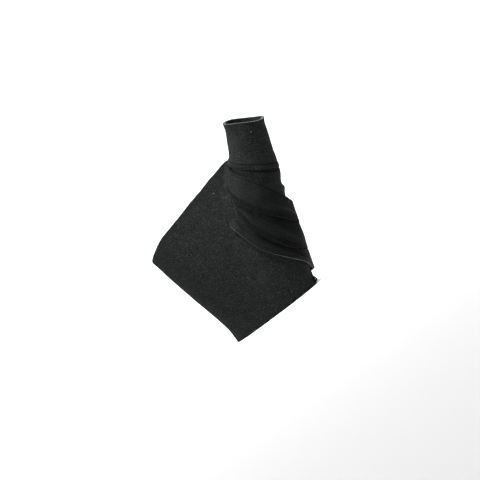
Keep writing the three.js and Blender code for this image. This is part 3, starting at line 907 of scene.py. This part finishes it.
def strap_relief(k, s, t):
    """The groove that the stitches make along a strap's lower edge, with small puckers."""
    if k == LOWER:
        return 0 * s
    near = (t - STITCH_SHARE) * STRAP_WIDTH
    pucker = 0.08 * np.sin(s * TAU * RIPPLES) * bell(near, 1.4)
    return between(s, SLIT_END, SLIT_END + 0.02, 0.79, 0.81) * (dent(near, 0.2, 0.6) + pucker)


def scallop(k, s, t):
    """The stitches draw the lower edge of two straps into small waves."""
    if k == LOWER:
        return 0 * s
    run = between(s, SLIT_END, SLIT_END + 0.03, 0.76, 0.8)
    return 0.022 * run * np.sin(s * TAU * RIPPLES) * np.exp(-t / 0.07)


def strap_painted_shade(k, s, t):
    """Painted shade in the stitched groove along the lower edge, where the first strap meets the web, and
    under the strap that laps over it.
    """
    groove = between(s, SLIT_END - 0.02, SLIT_END + 0.01, 0.77, 0.8) * (k != LOWER)
    groove = groove * bell((t - STITCH_SHARE) * STRAP_WIDTH, 0.75)
    at_web = between(s, 0.1, 0.16, 0.5, 0.6) * bell((1 - t) * STRAP_WIDTH, 0.6) * (k == 0)
    return np.maximum(np.maximum(groove, at_web), painted_shadow_under_edge(s, (1 - t) * LAPPED_WIDTH) * (k > 0))


def strap_bevel(k, s, t):
    """The lower strap's edge is cut on a slant, so that a line of foam shows along it."""
    return 0.5 * between(s, SLIT_END, SLIT_END + 0.03, 0.52, 0.58) * (t == 0) * (k == LOWER)


def painted_shadow_under_edge(s, from_top):
    """Painted shadow on a piece just below the strap that laps over it, from_top mm below its own edge."""
    run = between(s, SLIT_END, SLIT_END + 0.04, 0.55, 0.62)
    return 0.8 * run * bell(from_top - 12 * tuck_at(s) - 0.4, 0.7)


def make_strap(k, name):
    """A strap's two pieces: the root that stays on the cuff, and the tail that peels."""
    s, t = grid(176, 30)
    s = s * SPLIT
    seeds = on_strap(k, s, t + scallop(k, s, t))
    rise = strap_rise(s, t)
    opening = smoothstep(s, SLIT_END, SLIT_END + 0.03)
    free = np.where((t == 0) | ((t == 1) & (k > 0)), opening, 1.0)
    free[0] = free[-1] = 0
    faces = [OUTER_JERSEY, INNER_JERSEY, EDGE_FOAM if k == LOWER else SHADE_DARKENED_FOAM]
    # painted shade: in the stitch groove, under lapping edges, and more along the strap as it turns from the
    # lamps
    root = cloth(f"strap_{name}_cloth", seeds, [h + rise for h in PANEL_LAYER], faces, free=free,
                 relief=strap_relief(k, s, t), painted_shade=strap_painted_shade(k, s, t), painted_side_shade=smoothstep(s, 0.12, 0.42),
                 bevel=strap_bevel(k, s, t))
    s, t = grid(64, 30)
    s = lerp(SPLIT, 1, s)
    tip_round = 0.012 * (2 * t - 1) ** 4 * smoothstep(s, 0.9, 1)
    seeds = on_strap(k, s - tip_round, t)
    rise = strap_rise(s, t)
    free = np.ones_like(s)
    free[0] = 0
    # painted shade over the whole tail, which is turned from the lamps
    end = cloth(f"strap_{name}_tail", seeds, [h + rise for h in PANEL_LAYER], faces, free=free,
                relief=strap_relief(k, s, t), painted_shade=strap_painted_shade(k, s, t), painted_side_shade=np.ones_like(s))
    return root, end


# ---- put the cut pieces on their bodies


def place_sheet(node):
    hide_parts(node)


def place_strap(k, name):
    """The root rides the cuff. The tail is left where it was laid; its hinge line at the fold is worked out
    but not used.
    """
    root, tail = make_strap(k, name)
    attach(root, "cuff")
    place_sheet(f"strap_{name}_root")
    fold_ends = on_strap(k, np.full(2, FOLD), np.array([0.0, 1.0]))
    low, high = lay(fold_ends, STRAP_END_LAYER[1]) - FOOTPRINT_CENTRE
    hinge = unit(high - low)
    onward = np.array([-0.55, 0.83, 0.0])
    onward = unit(onward - (onward @ hinge) * hinge)
    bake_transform(tail)
    place_sheet(f"strap_{name}_end")


for make, node, flat_mm, area_share, slot in (
    (make_palm, "palm_panel", (88, 85), 0.8, "neoprene"),
    (make_dorsal, "dorsal_panel", (92, 86), 0.8, "neoprene"),
    (make_gusset, "thumb_gusset", (96, 62), 0.6, "inner_stretch"),
    (make_sleeve, "thumb_sleeve", (80, 27), 0.95, "neoprene"),
):
    panel = make()
    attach(panel, "cuff")
    place_sheet(node)

for k, name in enumerate(STRAPS):
    place_strap(k, name)

# ---- hook and loop


def place_thread(piece, node=None, body="cuff"):
    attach(piece, body)
    if node:
        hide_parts(node)


def scatter(columns, rows, seed):
    """Places in loose rows over a patch, with the generator that goes on to vary what stands there."""
    rng = np.random.default_rng(seed)
    s, t = np.meshgrid((np.arange(columns) + 0.5) / columns, (np.arange(rows) + 0.5) / rows, indexing="ij")
    jitter = rng.uniform(-0.25, 0.25, (2, columns, rows))
    return (s + jitter[0] / columns).ravel(), (t + jitter[1] / rows).ravel(), rng


HOOK_COLUMNS, HOOK_ROWS = 13, 8
HOOK_SEED, LOOP_SEED = 40, 7
LOOP_COLUMNS, LOOP_ROWS = 34, 46
LOOP_FIELD_SIZE = (28, 38)  # mm along the straps, and up across them


def make_hooks(k, name):
    """A woven tape under the strap's tip, with rows of small hooks that point down at the loops."""
    s, t = grid(24, 20)
    tape = cloth(f"hook_tape_{name}", on_strap(k, lerp(0.87, 0.985, s), lerp(0.14, 0.86, t)),
                 (HOOK_LAYER[1] - 0.4, HOOK_LAYER[1]), [HOOK, HOOK, HOOK], ragged=0.03)
    place_thread(tape, f"hook_{name}", f"strap_{name}")
    s, t, rng = scatter(HOOK_COLUMNS, HOOK_ROWS, HOOK_SEED + k)
    profile = np.linspace(0, 1, 6)
    turn = rng.uniform(-0.4, 0.4, len(s))
    lines = []
    for side in (-1, 1):
        bend = 0.35 * np.sin(profile * np.pi * 0.9) * side
        drop = HOOK_LAYER[1] - 0.3 - 0.55 * np.sin(profile * np.pi * 0.62)
        stage = lerp(0.878, 0.978, s)[:, None] + (bend[None, :] + 0.2 * turn[:, None]) / 150
        share = lerp(0.18, 0.82, t)[:, None] + 0 * stage
        lines += list(lay(on_strap(k, stage, share), drop[None, :] + 0 * stage))
    hooks = threads(f"hooks_{name}", lines, 0.1, HOOK, sides=5)
    place_thread(hooks, None, f"strap_{name}")


def loop_seeds(s, t):
    return lerp(across_fan(0.83, t), across_fan(1.0, t) + np.array([-5, 0.3, 0]), s[..., None])


def make_loop_field():
    """The field on the back that the hooks hold to: a woven backing with a pile of small loops."""
    face = LOOP_LAYER[0]
    layer = (face - 0.3, face + 0.12)
    backing = cloth("loop_backing", loop_seeds(*grid(48, 60)), layer, [PILE] * 3, ragged=0.05)
    place_thread(backing, "loop_field")
    s, t, rng = scatter(LOOP_COLUMNS, LOOP_ROWS, LOOP_SEED)
    profile = np.linspace(0, 1, 6)[None, :]
    heading = rng.uniform(0, TAU, len(s))[:, None]
    size = rng.uniform(0.6, 1.1, len(s))[:, None]
    run = (profile - 0.5) * size
    stage = s[:, None] + run * np.cos(heading) / LOOP_FIELD_SIZE[0]
    share = t[:, None] + run * np.sin(heading) / LOOP_FIELD_SIZE[1]
    arch = face + 0.05 + 0.4 * np.sin(np.pi * profile) * size / 1.1
    loops = lay(loop_seeds(np.clip(stage, 0, 1), np.clip(share, 0, 1)), arch)
    place_thread(threads("loop_pile", list(loops), 0.07, PILE, sides=4))


for k, name in enumerate(STRAPS):
    make_hooks(k, name)
make_loop_field()

# ---- seams and stitches

OUTER_FACE = PANEL_LAYER[1]
SLEEVE_FACE = SLEEVE_LAYER[1]


def thumb_path(s, offset):
    return on_ring(SEAM_RING, s, offset)


def ulnar_path(s, offset):
    middle = lerp(hem_point(np.full_like(s, ULNAR_ANGLE - 0.6), 0.6), ULNAR_TOP, s[..., None])
    return middle + offset[..., None] * np.array([0.55, 0.83, 0])


def radial_path(s, offset):
    top = FAN_EDGES[3](np.full_like(s, RADIAL_STAGE))
    middle = lerp(hem_point(np.full_like(s, RADIAL_ANGLE)), top, lerp(0.06, 0.85, s)[..., None])
    return middle + offset[..., None] * np.array([-0.1, 1, 0])


flatlock("thumb_seam", thumb_path, SLEEVE_FACE, 83)
flatlock("ulnar_seam", ulnar_path, OUTER_FACE, 69)
flatlock("radial_seam", radial_path, OUTER_FACE, 8, 1.6)

KNOT_DEGREES, KNOT_HEIGHT = 70.0, 3.0
KNOT_SIZE = np.array([2.0, 1.5, 0.75])
KNOT_SEED = 12
KNOT_STRANDS = 4
KNOT_THREAD_RADIUS = 0.22
LOOSE_END_HEADINGS = (0.4, 2.2, -0.3)


def make_knot():
    """Thread heaped on itself where the radial seam ends, darkened as painted shade, with dark loose ends and
    a pale end that is a painted highlight.
    """
    rng = np.random.default_rng(KNOT_SEED)
    spots = hem_point(np.array([KNOT_DEGREES, KNOT_DEGREES + 1]), KNOT_HEIGHT)
    base, ahead = lay(spots, OUTER_FACE + 0.6)
    along = unit(ahead - base)
    outward = unit(np.cross(along, [0, 0, 1]))
    axes = np.stack([along, [0, 0, 1], outward * np.sign(outward[0])])
    turns = np.linspace(0, TAU, 90)[:, None]
    lines = []
    for _ in range(KNOT_STRANDS):
        speeds = rng.integers(2, 6, 3) + rng.uniform(-0.3, 0.3, 3)
        phases = rng.uniform(0, TAU, 3)
        reach = KNOT_SIZE * rng.uniform(0.7, 1.0, 3)
        lines.append(base + (np.sin(turns * speeds + phases) * reach) @ axes)
    out = np.linspace(0, 1, 8)[:, None]
    for heading in LOOSE_END_HEADINGS:
        away = np.array([np.cos(heading), np.sin(heading), 0.25])
        lines.append(base + (out * 2.6 * away + out**2 * np.array([0, -0.5, -0.3])) @ axes)
    place_thread(threads("knot_threads", lines, KNOT_THREAD_RADIUS, SHADE_DARKENED_THREAD), "seam_knot")
    # painted highlight: a pale thread end on the knot
    highlight_end = base + (out * np.array([0.7, 1.1, 0.3]) + np.array([-2.2, -0.3, 0.5])) @ axes
    place_thread(threads("knot_highlight_end", [highlight_end], 0.3, HIGHLIGHT_THREAD))


def make_bartack(k, name):
    """A zigzag of thread that stops the slit below strap k from tearing on."""
    zigzag = np.linspace(0, 1, 90)
    side = np.abs((zigzag * 7) % 1 * 2 - 1)
    spot = FAN_EDGES[k + 1](np.full_like(zigzag, SLIT_END - 0.029))
    line = spot + (side - 0.5)[:, None] * 1.5 * np.array([1, 0, -0.3])
    line = line + (zigzag - 0.5)[:, None] * 3.6 * np.array([0.3, 0, 1])
    strand = lay(line, OUTER_FACE + 0.12 + 0.05 * np.cos(side * TAU))
    place_thread(threads(f"bartack_{name}_threads", [strand], THREAD_RADIUS, THREAD), f"bartack_{name}")


def make_edge_stitches(k, name):
    def edge_path(s, offset):
        return on_strap(k, lerp(SLIT_END, STITCHES_END, s), STITCH_SHARE + offset)

    def edge_height(s):
        stage = lerp(SLIT_END, STITCHES_END, s)
        return OUTER_FACE + strap_rise(stage, np.full_like(stage, STITCH_SHARE)) - 0.12

    row = stitches(edge_path, edge_height, 2.4, 92, skip=0.1)
    place_thread(threads(f"stitch_{name}_threads", row, THREAD_RADIUS, SHADE_DARKENED_THREAD), f"stitch_{name}")


make_knot()
for k, name in enumerate(STRAPS):
    make_bartack(k, name)
for k, name in enumerate(STRAPS[:LOWER]):
    make_edge_stitches(k, name)

# ---- stage, light and camera (metres)

ROLL = np.radians(37.1)  # how far the camera is rolled from upright
AIM = Vector((-2.14, 0, 48.1)) * MM
CAMERA_REACH = 0.7956
LAMP_REACH = 0.67
SPOT_DEGREES = 17

up = Vector((np.sin(ROLL), 0, np.cos(ROLL)))
right = Vector((np.cos(ROLL), 0, -np.sin(ROLL)))
back = Vector((0, -1, 0))


def hang(name, light, location, toward):
    lamp = add_object(name, light)
    lamp.location = location
    lamp.rotation_euler = (toward - location).to_track_quat("-Z", "Y").to_euler()


def panel_light(name, location, toward, size, energy):
    light = bpy.data.lights.new(name, "AREA")
    light.shape = "DISK"
    light.size = size
    light.energy = energy
    hang(name, light, Vector(location), Vector(toward))


def spot_light(name, direction, toward, radius, energy):
    light = bpy.data.lights.new(name, "SPOT")
    light.shadow_soft_size = radius
    light.energy = energy
    light.spot_size = np.radians(SPOT_DEGREES)
    light.spot_blend = 1.0
    hang(name, light, AIM + direction.normalized() * LAMP_REACH, AIM + toward)


def make_cove():
    """A pale floor that curves up into a backdrop."""
    angle = np.linspace(0, np.pi / 2, 24)
    bend = [(1.0 + 0.8 * np.sin(a), 0.8 - 0.8 * np.cos(a)) for a in angle]
    profile = [(-3.0, 0.0), (0.0, 0.0), *bend, (1.8, 3.0)]
    vertices = [(x, y, z) for y, z in profile for x in (-4.0, 4.0)]
    faces = [(2 * i, 2 * i + 1, 2 * i + 3, 2 * i + 2) for i in range(len(profile) - 1)]
    mesh = bpy.data.meshes.new("floor")
    mesh.from_pydata(vertices, [], faces)
    mesh.materials.append(pale_ground("pale_floor", 0.93, 0.90))
    mesh.polygons.foreach_set("use_smooth", np.ones(len(faces), bool))
    add_object("floor", mesh)


def fill_world(strength):
    world = bpy.data.worlds.new("studio")
    bpy.context.scene.world = world
    world.use_nodes = True
    background = world.node_tree.nodes["Background"]
    background.inputs["Color"].default_value = (1, 1, 1, 1)
    background.inputs["Strength"].default_value = strength


def set_camera():
    data = bpy.data.cameras.new("camera")
    data.lens = 100
    data.sensor_width = 36
    camera = add_object("camera", data)
    turned = Matrix((right, up, back)).transposed().to_4x4()
    camera.matrix_world = Matrix.Translation(AIM + back * CAMERA_REACH) @ turned
    bpy.context.scene.camera = camera


make_cove()
spot_light("key", back * 0.3 - right * 0.8 + up * 0.15, up * 0.035 - right * 0.025, 0.09, 68)
spot_light("high", back * 0.4 - right * 0.3 + up * 0.7, up * 0.055 - right * 0.02, 0.06, 44)
panel_light("overhead", (0.2, -0.2, 1.6), (0.2, -0.2, 0), 0.8, 18)
panel_light("backdrop_left", (-0.9, 0.6, 1.2), (0, 1.8, 0.3), 0.8, 24)
panel_light("backdrop_right", (0.9, 0.6, 1.2), (0, 1.8, 0.3), 0.8, 24)
fill_world(0.1)
bpy.context.scene.view_settings.view_transform = "Standard"
set_camera()
